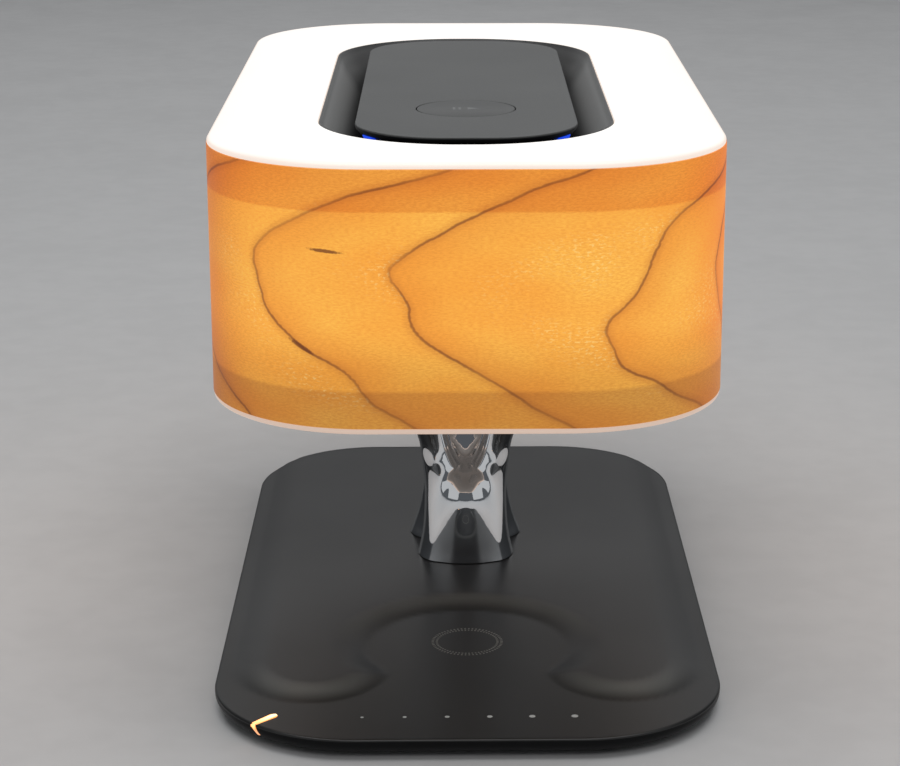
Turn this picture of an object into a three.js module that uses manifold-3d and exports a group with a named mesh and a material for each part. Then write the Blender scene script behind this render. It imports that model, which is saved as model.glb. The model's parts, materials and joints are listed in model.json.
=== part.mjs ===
// Table lamp on a wireless charging base: a chrome tree trunk carries a veneer shade with a speaker in it.
// Millimetres, +Z up. The origin is on the floor under the middle of the base; the front faces -Y.
import * as THREE from 'three';
import { mergeVertices } from 'three/addons/utils/BufferGeometryUtils.js';
import Module from 'manifold-3d';

const wasm = await Module();
wasm.setup();

// ---------------------------------------------------------------- driving dimensions
const GAP = 0.3; // between neighbouring pieces

// charging base
const BASE_WIDTH = 178;
const BASE_LENGTH = 318.4;
const BASE_CORNER = 50.5;
const FOOT_HEIGHT = 1.2;
const FOOT_RADIUS = 9;
const FRONT_LEVEL = 7.9; // front strip and charging bay
const PLATEAU_LEVEL = 10.2; // main plate, where the trunk stands
const SLOPE_WIDTH = 13; // of the soft step between the two levels
const CAVITY_INSET = 9.8;
const FRONT_CEILING = 6.2;
const REAR_CEILING = 7.6;
const STEEL_THICKNESS = 2;
const BAY = { y: -78, radius: 37 };
const LOBE = { x: 57, y: -99, radius: 29 };
const PLATEAU_FRONT = { halfWidth: 84, y: -129, corner: 34 };
const COIL = { y: -73.3, inner: 10, outer: 22, height: 0.7 };
const DIMMER = { count: 6, y: -140.5, pitch: 14.5, firstRadius: 0.75, lastRadius: 1.5 };
const CHARGE_LIGHT = { angle: -133, innerRadius: 39.8, width: 3.2, bottom: 4.6 };
const INLET = { width: 9, height: 3.3, depth: 8, bottom: 4, wall: 0.5 };
const BASE_SCREWS = [[-66, -104], [66, -104], [-66, 104], [66, 104]];
const FEET = [[-62, -118], [62, -118], [-62, 118], [62, 118]];
const BOARD_THICKNESS = 1.6;

// shade
const SHADE_WIDTH = 172.4;
const SHADE_LENGTH = 324.2;
const SHADE_CORNER = 54.4;
const SHADE_BOTTOM = 115;
const SHADE_TOP = 203.4;
const DIFFUSER_SKIN = 1.9;
const VENEER_SKIN = 0.9;
const LINER_SKIN = 0.8;
const LIP = { thickness: 1.2, upper: 13.7, lower: 12.6 }; // of the diffusers, inside the liner

// speaker pod in the top of the shade
const RECESS = { width: 101.4, length: 244.2, corner: 48, y: -8.2 };
const RECESS_SLOPE = 14; // how far the tray walls lean inwards
const TRAY_FLOOR = 180;
const TRAY_SKIN = 1.5;
const PLATE = { width: 75.6, length: 223, corner: 30, y: -6.4, thickness: 4.4 };
const BUTTON = { y: -61.3, radius: 17.2, thickness: 2.7, clearance: 0.35, shelf: 0.7 };
const SPEAKER = { y: 25, flange: 33, cone: 25, magnet: 21 };
const ENCLOSURE = { width: 66, length: 196, corner: 16, y: -7 };
const ENCLOSURE_SKIN = 2;
const FRAME = { halfWidth: 36, front: -106, back: 92, skin: 1.8 };
const LIGHTS = { count: 8, pitch: 23, size: 3.6, z: 150 };
const BLUE_GUIDE = { x: 26.5, y: -103.5, length: 9, width: 2.4, height: 1.5 };

// trunk limbs: height, centre x, centre y, half-width along x, half-width along y
const FOOT_LEVEL = PLATEAU_LEVEL + GAP;
const BRANCH_TOP = SHADE_BOTTOM + DIFFUSER_SKIN + 1.8;
const REAR_LIMB = [
  [FOOT_LEVEL, 0, 42, 22, 14.5],
  [14, 0, 41.6, 20.6, 13.8],
  [24, 0, 40, 17.8, 13],
  [38, 0, 38, 15.9, 12.4],
  [47, 0, 38, 15.2, 11.6],
  [56, 0, 39, 13.6, 10.4],
  [75, 0, 41.5, 11.6, 10],
  [95, 0, 45.5, 10.4, 9.8],
  [110, 0, 48, 10, 9.5],
  [BRANCH_TOP, 0, 48, 10, 9.5],
];
const FRONT_LIMB = [
  [FOOT_LEVEL, 0, 11, 14.4, 8.5],
  [14, 0, 11, 13.6, 8.3],
  [22, 0, 11.4, 12.6, 8.2],
  [36, 0, 13, 10.8, 8.4],
  [42, 0, 15, 9.4, 8.4],
  [46.5, 0, 19, 7, 7.4],
];
const SIDE_BRANCH = [
  [FOOT_LEVEL, 9, 17, 9.3, 12.3],
  [22, 7.6, 18, 8.6, 12.3],
  [36, 7.2, 20, 8.4, 12],
  [44, 8.5, 20.5, 7.7, 11],
  [50, 10.5, 20, 6.5, 10.2],
  [57, 12.3, 19.5, 5.5, 9.6],
  [70, 15.8, 15, 6.4, 8.8],
  [86, 19.6, 7, 7.2, 8],
  [100, 22.6, -1, 8, 8],
  [111, 24, -8, 8.5, 8.5],
  [BRANCH_TOP, 24, -8, 8.5, 8.5],
];
const HARNESS_RADIUS = 2.2;
const HARNESS_BORE = 3;
const SCREW_BORE = 2.4; // radius, for the screws of the trunk and of the frame
const TRUNK_SCREWS = { front: [0, 14.7], rear: [0, 47] };

// ---------------------------------------------------------------- materials
const finish = (color, roughness, metalness = 0) =>
  new THREE.MeshStandardMaterial({ color, roughness, metalness });
const MATERIALS = {
  charcoal: finish(0x2c2b2a, 0.62),
  steel: finish(0x8d9094, 0.45, 1),
  rubber: finish(0x151515, 0.85),
  copper: finish(0xb8703a, 0.35, 1),
  ferrite: finish(0x3b3a3c, 0.6),
  board: finish(0x1d5a35, 0.5),
  lightPin: finish(0xe6e6e2, 0.4),
  amber: finish(0xff8a2a, 0.4),
  blue: finish(0x1b49ff, 0.4),
  chrome: finish(0xe8eaec, 0.06, 1),
  opal: finish(0xfff1e6, 0.45),
  veneer: finish(0xd98b3f, 0.55),
  liner: finish(0xfff4e2, 0.6),
  aluminium: finish(0xc4c7ca, 0.4, 1),
  graphite: finish(0x5c5f62, 0.5),
  black: finish(0x1c1c1d, 0.55),
  paper: finish(0x242424, 0.8),
};

// ---------------------------------------------------------------- solids
function solidOf(geometry) {
  const bare = geometry.index ? geometry.toNonIndexed() : geometry.clone();
  bare.deleteAttribute('normal');
  bare.deleteAttribute('uv');
  const merged = mergeVertices(bare, 1e-4);
  return new wasm.Manifold(new wasm.Mesh({
    numProp: 3,
    vertProperties: merged.attributes.position.array,
    triVerts: merged.index.array,
  }));
}

function geometryOf(solid) {
  const mesh = solid.getMesh();
  const geometry = new THREE.BufferGeometry();
  geometry.setAttribute('position', new THREE.BufferAttribute(mesh.vertProperties, 3));
  geometry.setIndex(new THREE.BufferAttribute(mesh.triVerts, 1));
  const flat = geometry.toNonIndexed();
  flat.computeVertexNormals();
  return flat;
}

const join = (...geometries) => geometryOf(geometries.map(solidOf).reduce((a, b) => a.add(b)));
const cut = (geometry, ...tools) =>
  geometryOf(tools.map(solidOf).reduce((a, b) => a.subtract(b), solidOf(geometry)));
const overlap = (a, b) => geometryOf(solidOf(a).intersect(solidOf(b)));

// Closed outline of a rounded rectangle, drawn inset from its nominal size.
function roundedOutline({ width, length, corner, y = 0 }, inset = 0) {
  const halfX = width / 2 - inset;
  const halfY = length / 2 - inset;
  const radius = Math.max(corner - inset, 0.5);
  const shape = new THREE.Shape();
  shape.moveTo(halfX, y - halfY + radius);
  shape.absarc(halfX - radius, y + halfY - radius, radius, 0, Math.PI / 2, false);
  shape.absarc(radius - halfX, y + halfY - radius, radius, Math.PI / 2, Math.PI, false);
  shape.absarc(radius - halfX, y - halfY + radius, radius, Math.PI, Math.PI * 1.5, false);
  shape.absarc(halfX - radius, y - halfY + radius, radius, Math.PI * 1.5, Math.PI * 2, false);
  return shape;
}

function extrude(shape, bottom, top, curveSegments = 5) {
  const depth = top - bottom;
  const geometry = new THREE.ExtrudeGeometry(shape, { depth, bevelEnabled: false, curveSegments });
  return geometry.translate(0, 0, bottom);
}

function ringOf(outline, outerInset, innerInset, bottom, top) {
  const shape = roundedOutline(outline, outerInset);
  shape.holes.push(roundedOutline(outline, innerInset));
  return extrude(shape, bottom, top);
}

function disc(x, y, radius, bottom, top, segments = 16) {
  const geometry = new THREE.CylinderGeometry(radius, radius, top - bottom, segments);
  return geometry.rotateX(Math.PI / 2).translate(x, y, (top + bottom) / 2);
}

function block(x0, x1, y0, y1, z0, z1) {
  const geometry = new THREE.BoxGeometry(x1 - x0, y1 - y0, z1 - z0);
  return geometry.translate((x0 + x1) / 2, (y0 + y1) / 2, (z0 + z1) / 2);
}

// Turned piece: profile is a list of [radius, height], about a vertical axis through (x, y).
function turned(x, y, profile, segments = 20) {
  const points = profile.map(([radius, z]) => new THREE.Vector2(radius, z));
  return new THREE.LatheGeometry(points, segments).rotateX(Math.PI / 2).translate(x, y, 0);
}

// Skin through horizontal rings of equally many points, with flat ends.
function loft(rings) {
  const count = rings[0].length;
  const last = (rings.length - 1) * count;
  const vertices = rings.flat().flatMap((point) => [point.x, point.y, point.z]);
  const triangles = [];
  for (let ring = 0; ring < rings.length - 1; ring += 1) {
    for (let step = 0; step < count; step += 1) {
      const a = ring * count + step;
      const b = ring * count + ((step + 1) % count);
      triangles.push(a, b, b + count, a, b + count, a + count);
    }
  }
  for (let step = 1; step < count - 1; step += 1) {
    triangles.push(0, step + 1, step);
    triangles.push(last, last + step, last + step + 1);
  }
  const geometry = new THREE.BufferGeometry();
  geometry.setAttribute('position', new THREE.Float32BufferAttribute(vertices, 3));
  geometry.setIndex(triangles);
  return geometry;
}

// Rounded-rectangle body whose side follows a profile of [inset, height].
function profiledBody(outline, profile, cornerSteps = 5) {
  return loft(profile.map(([inset, z]) => {
    const points = roundedOutline(outline, inset).getPoints(cornerSteps);
    const open = points[0].distanceTo(points[points.length - 1]) < 1e-6 ? points.slice(0, -1) : points;
    return open.map((point) => new THREE.Vector3(point.x, point.y, z));
  }));
}

function countersunkScrew(x, y, headBottom, headTop, shankTop, headRadius, shankRadius) {
  return turned(x, y, [
    [0, headBottom],
    [headRadius, headBottom],
    [headRadius, headTop],
    [shankRadius, headTop],
    [shankRadius, shankTop],
    [0, shankTop],
  ], 8);
}

// ---------------------------------------------------------------- assembly
const lamp = new THREE.Group();

function place(name, geometry, material) {
  const mesh = new THREE.Mesh(geometry, material);
  mesh.name = name;
  lamp.add(mesh);
}

// ---------------------------------------------------------------- charging base
const baseOutline = { width: BASE_WIDTH, length: BASE_LENGTH, corner: BASE_CORNER };
const steelTop = FOOT_HEIGHT + GAP + STEEL_THICKNESS;

// Height of the base's top: a low front strip runs into a round bay between two lobes of the main plate.
function baseHeight(x, y) {
  const side = Math.abs(x);
  const { halfWidth, corner } = PLATEAU_FRONT;
  const frontX = Math.max(side - halfWidth + corner, 0);
  const frontY = Math.max(PLATEAU_FRONT.y + corner - y, 0);
  const behindFront = corner - Math.hypot(frontX, frontY);
  const outsideBay = Math.hypot(x, y - BAY.y) - BAY.radius;
  const neckHalfWidth = LOBE.x - LOBE.radius;
  const outsideNeck = y > LOBE.y
    ? Math.max(side - neckHalfWidth, y - BAY.y)
    : LOBE.radius - Math.hypot(Math.min(side - LOBE.x, 0), y - LOBE.y);
  const distance = Math.min(behindFront, outsideBay, outsideNeck);
  const rise = THREE.MathUtils.clamp(distance / SLOPE_WIDTH, 0, 1);
  return FRONT_LEVEL + (PLATEAU_LEVEL - FRONT_LEVEL) * rise * (2 - rise);
}

// Lines of the relief grid: close together where the relief is, far apart behind it.
function gridLines(start, fineStart, fineEnd, end, fineStep, coarseSteps) {
  const lines = [];
  for (let i = 0; i < coarseSteps[0]; i += 1) {
    lines.push(start + ((fineStart - start) * i) / coarseSteps[0]);
  }
  const fineCount = Math.round((fineEnd - fineStart) / fineStep);
  for (let i = 0; i <= fineCount; i += 1) {
    lines.push(fineStart + ((fineEnd - fineStart) * i) / fineCount);
  }
  for (let i = 1; i <= coarseSteps[1]; i += 1) {
    lines.push(fineEnd + ((end - fineEnd) * i) / coarseSteps[1]);
  }
  return lines;
}

function reliefBlock() {
  const xs = gridLines(-92, -64, 64, 92, 8, [3, 3]);
  const ys = gridLines(-164, -140, -28, 164, 7, [1, 3]);
  const vertices = [];
  const triangles = [];
  const columns = xs.length;
  const layer = columns * ys.length;
  for (const bottom of [false, true]) {
    for (const y of ys) {
      for (const x of xs) {
        vertices.push(x, y, bottom ? 0 : baseHeight(x, y));
      }
    }
  }
  const quad = (a, b, c, d) => triangles.push(a, b, c, a, c, d);
  for (let row = 0; row < ys.length - 1; row += 1) {
    for (let column = 0; column < columns - 1; column += 1) {
      const a = row * columns + column;
      quad(a, a + 1, a + columns + 1, a + columns);
      quad(layer + a, layer + a + columns, layer + a + columns + 1, layer + a + 1);
    }
  }
  for (let column = 0; column < columns - 1; column += 1) {
    const back = (ys.length - 1) * columns + column;
    quad(layer + column, layer + column + 1, column + 1, column);
    quad(back, back + 1, layer + back + 1, layer + back);
  }
  for (let row = 0; row < ys.length - 1; row += 1) {
    const left = row * columns;
    const right = left + columns - 1;
    quad(left, left + columns, layer + left + columns, layer + left);
    quad(layer + right, layer + right + columns, right + columns, right);
  }
  const geometry = new THREE.BufferGeometry();
  geometry.setAttribute('position', new THREE.Float32BufferAttribute(vertices, 3));
  geometry.setIndex(triangles);
  return geometry;
}

const baseBody = overlap(profiledBody(baseOutline, [
  [7.6, FOOT_HEIGHT],
  [4.4, 2.8],
  [1.7, 4.8],
  [0.3, 6.6],
  [0, 7.4],
  [0.5, 8.3],
  [2, 9.3],
  [6, 10.1],
  [12, PLATEAU_LEVEL + 0.5],
], 6), reliefBlock());

// Bar of the charge light, from the top of a front corner out over the edge, widened by a margin.
function chargeLightBar(margin) {
  const half = CHARGE_LIGHT.width / 2 + margin;
  const shape = new THREE.Shape();
  shape.moveTo(BASE_CORNER + 4, -half);
  shape.lineTo(BASE_CORNER + 4, half);
  shape.lineTo(CHARGE_LIGHT.innerRadius + half, half);
  shape.absarc(CHARGE_LIGHT.innerRadius + half, 0, half, Math.PI / 2, Math.PI * 1.5, false);
  return extrude(shape, CHARGE_LIGHT.bottom - margin, PLATEAU_LEVEL + 2, 3)
    .rotateZ(THREE.MathUtils.degToRad(CHARGE_LIGHT.angle))
    .translate(BASE_CORNER - BASE_WIDTH / 2, BASE_CORNER - BASE_LENGTH / 2, 0);
}

const dimmerDots = Array.from({ length: DIMMER.count }, (_, index) => ({
  x: (index - (DIMMER.count - 1) / 2) * DIMMER.pitch,
  radius: THREE.MathUtils.lerp(DIMMER.firstRadius, DIMMER.lastRadius, index / (DIMMER.count - 1)),
}));
const harnessPath = new THREE.CatmullRomCurve3([
  [0, 36, steelTop + 2.6],
  [0, 36, 12],
  [0, 37, 38],
  [0, 39, 56],
  [0, 41.5, 75],
  [0, 45.5, 95],
  [0, 48, 110],
  [0, 48, 124],
].map((point) => new THREE.Vector3(...point)));

function tubeAlong(curve, radius, steps) {
  const section = new THREE.Shape();
  section.absarc(0, 0, radius, 0, Math.PI * 2, false);
  return new THREE.ExtrudeGeometry(section, {
    steps,
    extrudePath: curve,
    bevelEnabled: false,
    curveSegments: 4,
  });
}

const inletY = BASE_LENGTH / 2 - INLET.depth - 1.6;
const inletSlot = block(
  -INLET.width / 2 - GAP, INLET.width / 2 + GAP,
  inletY - 2, BASE_LENGTH / 2 + 2,
  INLET.bottom - GAP, INLET.bottom + INLET.height + GAP,
);
place('base_top_shell', cut(
  baseBody,
  extrude(roundedOutline(baseOutline, CAVITY_INSET), FOOT_HEIGHT - 1, FRONT_CEILING),
  extrude(
    roundedOutline({ width: BASE_WIDTH - 30, length: 170, corner: 30, y: 50 }),
    FRONT_CEILING - 1, REAR_CEILING,
  ),
  chargeLightBar(GAP),
  inletSlot,
  ...dimmerDots.map(({ x, radius }) => disc(x, DIMMER.y, radius + GAP, 5, 12, 12)),
  disc(...TRUNK_SCREWS.front, SCREW_BORE, 5, 12, 12),
  disc(...TRUNK_SCREWS.rear, SCREW_BORE, 5, 12, 12),
  disc(0, 36, HARNESS_BORE, 5, 12, 12),
), MATERIALS.charcoal);

place('base_bottom_plate', cut(
  extrude(roundedOutline(baseOutline, CAVITY_INSET + GAP), FOOT_HEIGHT + GAP, steelTop),
  ...BASE_SCREWS.map(([x, y]) => disc(x, y, 1.9, 0, 8, 12)),
), MATERIALS.steel);

FEET.forEach(([x, y], index) => {
  const side = ['front_left', 'front_right', 'rear_left', 'rear_right'][index];
  place(`foot_${side}`, turned(x, y, [
    [0, 0],
    [FOOT_RADIUS - 0.5, 0],
    [FOOT_RADIUS, 0.4],
    [FOOT_RADIUS, FOOT_HEIGHT],
    [0, FOOT_HEIGHT],
  ], 16), MATERIALS.rubber);
});

BASE_SCREWS.forEach(([x, y], index) => {
  place(`base_screw_${index + 1}`, countersunkScrew(x, y, 0.5, FOOT_HEIGHT, 5.4, 3, 1.5), MATERIALS.steel);
});

const coilTop = FRONT_CEILING - GAP;
place('charging_coil', turned(0, COIL.y, [
  [COIL.inner, coilTop - COIL.height],
  [COIL.outer, coilTop - COIL.height],
  [COIL.outer, coilTop],
  [COIL.inner, coilTop],
  [COIL.inner, coilTop - COIL.height],
], 20), MATERIALS.copper);
const insideBottom = steelTop + GAP;
const shield = disc(0, COIL.y, COIL.outer + 2, insideBottom, coilTop - COIL.height - GAP, 20);
place('coil_shield', shield, MATERIALS.ferrite);
const mainBoard = block(-58, 58, 78, 132, insideBottom, insideBottom + BOARD_THICKNESS);
place('base_circuit_board', mainBoard, MATERIALS.board);
const touchBoardTop = insideBottom + 1.2;
const touchBoard = block(-44, 44, DIMMER.y - 5, DIMMER.y + 9, insideBottom, touchBoardTop);
place('touch_board', touchBoard, MATERIALS.board);
dimmerDots.forEach(({ x, radius }, index) => {
  const pin = disc(x, DIMMER.y, radius, touchBoardTop + GAP, FRONT_LEVEL, 12);
  place(`dimmer_light_${index + 1}`, pin, MATERIALS.lightPin);
});
place('charge_light_guide', overlap(chargeLightBar(0), baseBody), MATERIALS.amber);
place('power_inlet', cut(
  block(
    -INLET.width / 2, INLET.width / 2, inletY, inletY + INLET.depth,
    INLET.bottom, INLET.bottom + INLET.height,
  ),
  block(
    -INLET.width / 2 + INLET.wall, INLET.width / 2 - INLET.wall, inletY + 1.5, inletY + INLET.depth + 1,
    INLET.bottom + INLET.wall, INLET.bottom + INLET.height - INLET.wall,
  ),
), MATERIALS.steel);

// ---------------------------------------------------------------- trunk
// Limb through ellipses that lie level; the ellipses between two stations are interpolated smoothly.
function limb(stations, mirror = 1, ringsPerSpan = 2, sides = 16) {
  const curve = (pick) => new THREE.CatmullRomCurve3(stations.map((s) => new THREE.Vector3(...pick(s))));
  const centres = curve(([z, x, y]) => [x * mirror, y, z]);
  const widths = curve(([z, , , halfX, halfY]) => [halfX, halfY, z]);
  const ringCount = (stations.length - 1) * ringsPerSpan;
  const rings = [];
  for (let ring = 0; ring <= ringCount; ring += 1) {
    const centre = centres.getPoint(ring / ringCount);
    const width = widths.getPoint(ring / ringCount);
    rings.push(Array.from({ length: sides }, (_, step) => {
      const angle = (step / sides) * Math.PI * 2;
      return new THREE.Vector3(
        centre.x + width.x * Math.cos(angle),
        centre.y + width.y * Math.sin(angle),
        centre.z,
      );
    }));
  }
  return loft(rings);
}

place('trunk', cut(
  join(limb(REAR_LIMB), limb(FRONT_LIMB), limb(SIDE_BRANCH, 1), limb(SIDE_BRANCH, -1)),
  tubeAlong(harnessPath, HARNESS_BORE, 22),
  disc(...TRUNK_SCREWS.front, SCREW_BORE, 5, 23, 12),
  disc(...TRUNK_SCREWS.rear, SCREW_BORE, 5, 23, 12),
), MATERIALS.chrome);
place('wire_harness', tubeAlong(harnessPath, HARNESS_RADIUS, 22), MATERIALS.black);
for (const [name, [x, y]] of Object.entries(TRUNK_SCREWS)) {
  place(`trunk_screw_${name}`, countersunkScrew(x, y, 4.4, REAR_CEILING - GAP, 22, 4, 2), MATERIALS.steel);
}

// ---------------------------------------------------------------- shade
const shadeOutline = { width: SHADE_WIDTH, length: SHADE_LENGTH, corner: SHADE_CORNER };
const veneerBottom = SHADE_BOTTOM + DIFFUSER_SKIN + 0.2;
const veneerTop = SHADE_TOP - DIFFUSER_SKIN - 0.2;
const linerInset = VENEER_SKIN + GAP;
const lipInset = linerInset + LINER_SKIN + GAP;
const lipRing = (bottom, top) => ringOf(shadeOutline, lipInset, lipInset + LIP.thickness, bottom, top);
const branchTips = [
  [SIDE_BRANCH.at(-1)[1], SIDE_BRANCH.at(-1)[2], SIDE_BRANCH.at(-1)[3]],
  [-SIDE_BRANCH.at(-1)[1], SIDE_BRANCH.at(-1)[2], SIDE_BRANCH.at(-1)[3]],
  [REAR_LIMB.at(-1)[1], REAR_LIMB.at(-1)[2], REAR_LIMB.at(-1)[3]],
];

place('lower_diffuser', cut(
  join(
    profiledBody(shadeOutline, [
      [1.6, SHADE_BOTTOM],
      [0.5, SHADE_BOTTOM + 0.5],
      [0.1, SHADE_BOTTOM + 1.1],
      [0.1, SHADE_BOTTOM + DIFFUSER_SKIN],
    ]),
    lipRing(SHADE_BOTTOM + 1, SHADE_BOTTOM + DIFFUSER_SKIN + LIP.lower),
  ),
  ...branchTips.map(([x, y, radius]) => disc(x, y, radius + 0.5, SHADE_BOTTOM - 2, SHADE_BOTTOM + 4, 24)),
), MATERIALS.opal);
place('veneer_band', ringOf(shadeOutline, 0, VENEER_SKIN, veneerBottom, veneerTop), MATERIALS.veneer);
place('inner_liner', ringOf(
  shadeOutline, linerInset, linerInset + LINER_SKIN,
  veneerBottom, veneerTop,
), MATERIALS.liner);
place('upper_diffuser', cut(
  join(
    profiledBody(shadeOutline, [
      [0.1, SHADE_TOP - DIFFUSER_SKIN],
      [0.1, SHADE_TOP - 1.5],
      [0.5, SHADE_TOP - 0.8],
      [1.4, SHADE_TOP - 0.3],
      [3.2, SHADE_TOP],
    ]),
    lipRing(SHADE_TOP - DIFFUSER_SKIN - LIP.upper, SHADE_TOP - 1),
  ),
  extrude(roundedOutline(RECESS), SHADE_TOP - 10, SHADE_TOP + 2),
), MATERIALS.opal);

const frameTop = SHADE_BOTTOM + DIFFUSER_SKIN + 5;
const frameBottom = BRANCH_TOP + GAP;
const uprightTop = TRAY_FLOOR - TRAY_SKIN - GAP;
const framePlate = (x0, x1, top) => block(x0, x1, FRAME.front, FRAME.back, frameBottom, top);
place('shade_frame', cut(
  join(
    framePlate(-FRAME.halfWidth, FRAME.halfWidth, frameTop),
    framePlate(-FRAME.halfWidth, -FRAME.halfWidth + FRAME.skin, uprightTop),
    framePlate(FRAME.halfWidth - FRAME.skin, FRAME.halfWidth, uprightTop),
  ),
  ...branchTips.map(([x, y], index) => disc(x, y, index === 2 ? 6 : SCREW_BORE, 110, 130, 12)),
), MATERIALS.aluminium);
branchTips.slice(0, 2).forEach(([x, y], index) => {
  const side = ['right', 'left'][index];
  place(`frame_screw_${side}`, turned(x, y, [
    [0, frameBottom + 0.2],
    [2, frameBottom + 0.2],
    [2, frameTop + GAP],
    [4, frameTop + GAP],
    [4, frameTop + 2.3],
    [0, frameTop + 2.3],
  ], 8), MATERIALS.steel);
});

function ledBoard(side) {
  const face = FRAME.halfWidth + GAP;
  const middle = (FRAME.front + FRAME.back) / 2;
  const board = block(face, face + 1.4, FRAME.front + 6, FRAME.back - 6, LIGHTS.z - 18, LIGHTS.z + 18);
  const half = LIGHTS.size / 2;
  const lights = Array.from({ length: LIGHTS.count }, (_, index) => {
    const y = middle + (index - (LIGHTS.count - 1) / 2) * LIGHTS.pitch;
    return block(face + 1, face + 2.2, y - half, y + half, LIGHTS.z - half, LIGHTS.z + half);
  });
  const geometry = join(board, ...lights);
  return side > 0 ? geometry : geometry.rotateZ(Math.PI).translate(0, 2 * middle, 0);
}
place('led_board_right', ledBoard(1), MATERIALS.lightPin);
place('led_board_left', ledBoard(-1), MATERIALS.lightPin);

// ---------------------------------------------------------------- speaker pod
const trayTop = SHADE_TOP - 0.2;
const tray = (skin, bottom) => profiledBody(RECESS, [
  [RECESS_SLOPE + GAP + skin, bottom],
  [RECESS_SLOPE * 0.88 + GAP + skin, bottom + 2],
  [GAP + skin, trayTop + (skin > 0 ? 0.5 : 0)],
]);
place('recess_tray', cut(
  tray(0, TRAY_FLOOR - TRAY_SKIN),
  tray(TRAY_SKIN, TRAY_FLOOR),
  disc(0, SPEAKER.y, SPEAKER.flange - 3, TRAY_FLOOR - 4, TRAY_FLOOR + 4, 20),
), MATERIALS.black);

const enclosureTop = TRAY_FLOOR - TRAY_SKIN - GAP;
const enclosureBottom = frameTop + 5;
place('speaker_enclosure', cut(
  extrude(roundedOutline(ENCLOSURE), enclosureBottom, enclosureTop, 3),
  extrude(roundedOutline(ENCLOSURE, ENCLOSURE_SKIN), enclosureBottom + ENCLOSURE_SKIN, enclosureTop + 1, 3),
), MATERIALS.black);

const flangeBottom = TRAY_FLOOR + GAP;
place('speaker_basket', turned(0, SPEAKER.y, [
  [SPEAKER.flange - 5, flangeBottom],
  [SPEAKER.flange, flangeBottom],
  [SPEAKER.flange, flangeBottom + 1.5],
  [SPEAKER.flange - 3.5, flangeBottom + 1.5],
  [SPEAKER.flange - 5, flangeBottom + 0.6],
  [SPEAKER.magnet - 3, 165],
  [12, 165],
  [12, 163.6],
  [SPEAKER.magnet - 2, 163.6],
  [SPEAKER.flange - 5, flangeBottom],
], 20), MATERIALS.black);
place('speaker_magnet', turned(0, SPEAKER.y, [
  [0, 152],
  [SPEAKER.magnet, 152],
  [SPEAKER.magnet, 163.2],
  [0, 163.2],
], 24), MATERIALS.steel);
place('speaker_cone', turned(0, SPEAKER.y, [
  [9, 166.5],
  [9.6, 166.5],
  [9.6, 170.6],
  [SPEAKER.cone - 0.6, 178.6],
  [SPEAKER.cone - 0.6, 179.2],
  [9, 171.4],
  [9, 166.5],
], 20), MATERIALS.paper);
place('speaker_dust_cap', turned(0, SPEAKER.y, [
  [0, 174.4],
  [8.6, 171.9],
  [8.9, 172.2],
  [5, 174.6],
  [0, 175.6],
], 20), MATERIALS.paper);
place('speaker_surround', turned(0, SPEAKER.y, [
  [SPEAKER.cone - 0.2, 178.2],
  [SPEAKER.cone + 1.2, 180.6],
  [SPEAKER.cone + 2.4, 180.4],
  [SPEAKER.cone + 2.4, 180.9],
  [SPEAKER.cone + 1.2, 181.2],
  [SPEAKER.cone - 0.2, 178.8],
  [SPEAKER.cone - 0.2, 178.2],
], 20), MATERIALS.rubber);

const plateBottom = SHADE_TOP - PLATE.thickness;
const boardTop = plateBottom - 2.6;
const boardSpots = [[-24, -90], [24, -90], [-24, -32], [24, -32]];
const standoffSpots = [[-17, -104], [17, -104], [-16, 82], [16, 82]];
const shelfTop = plateBottom + BUTTON.shelf;
place('speaker_top_plate', cut(
  join(
    profiledBody(PLATE, [
      [3, plateBottom],
      [0.6, plateBottom + 2.2],
      [0, plateBottom + 3.2],
      [0, SHADE_TOP - 0.35],
      [0.35, SHADE_TOP],
    ]),
    ...boardSpots.map(([x, y]) => disc(x, y, 2.4, boardTop + GAP, plateBottom + 1, 10)),
  ),
  disc(0, BUTTON.y, BUTTON.radius + BUTTON.clearance, shelfTop, SHADE_TOP + 2, 36),
  disc(0, BUTTON.y, BUTTON.radius - 3, plateBottom - 1, shelfTop + 1, 24),
), MATERIALS.graphite);
place('play_button', join(
  disc(0, BUTTON.y, BUTTON.radius, SHADE_TOP - BUTTON.thickness, SHADE_TOP, 36),
  disc(0, BUTTON.y, 3, plateBottom - 0.7, SHADE_TOP - 1, 12),
), MATERIALS.graphite);
place('button_switch', disc(0, BUTTON.y, 3, boardTop + GAP, boardTop + 0.9, 12), MATERIALS.steel);
place('control_board', block(-30, 30, -97, -24, boardTop - BOARD_THICKNESS, boardTop), MATERIALS.board);
standoffSpots.forEach(([x, y], index) => {
  const standoff = disc(x, y, 3, TRAY_FLOOR + GAP, plateBottom - GAP, 12);
  place(`plate_standoff_${index + 1}`, standoff, MATERIALS.black);
});

for (const [side, mirror] of [['left', -1], ['right', 1]]) {
  const { x, y, length, width, height } = BLUE_GUIDE;
  const top = plateBottom - GAP;
  const geometry = block(-length / 2, length / 2, -width / 2, width / 2, top - height, top)
    .rotateZ(THREE.MathUtils.degToRad(mirror * 45))
    .translate(mirror * x, y, 0);
  place(`blue_light_guide_${side}`, geometry, MATERIALS.blue);
}

export default lamp;
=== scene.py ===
"""Looks of a veneer table lamp on a wireless charging base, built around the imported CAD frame."""

import json
import math

import bmesh
import bpy
import numpy as np
from mathutils import Matrix, Vector


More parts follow.
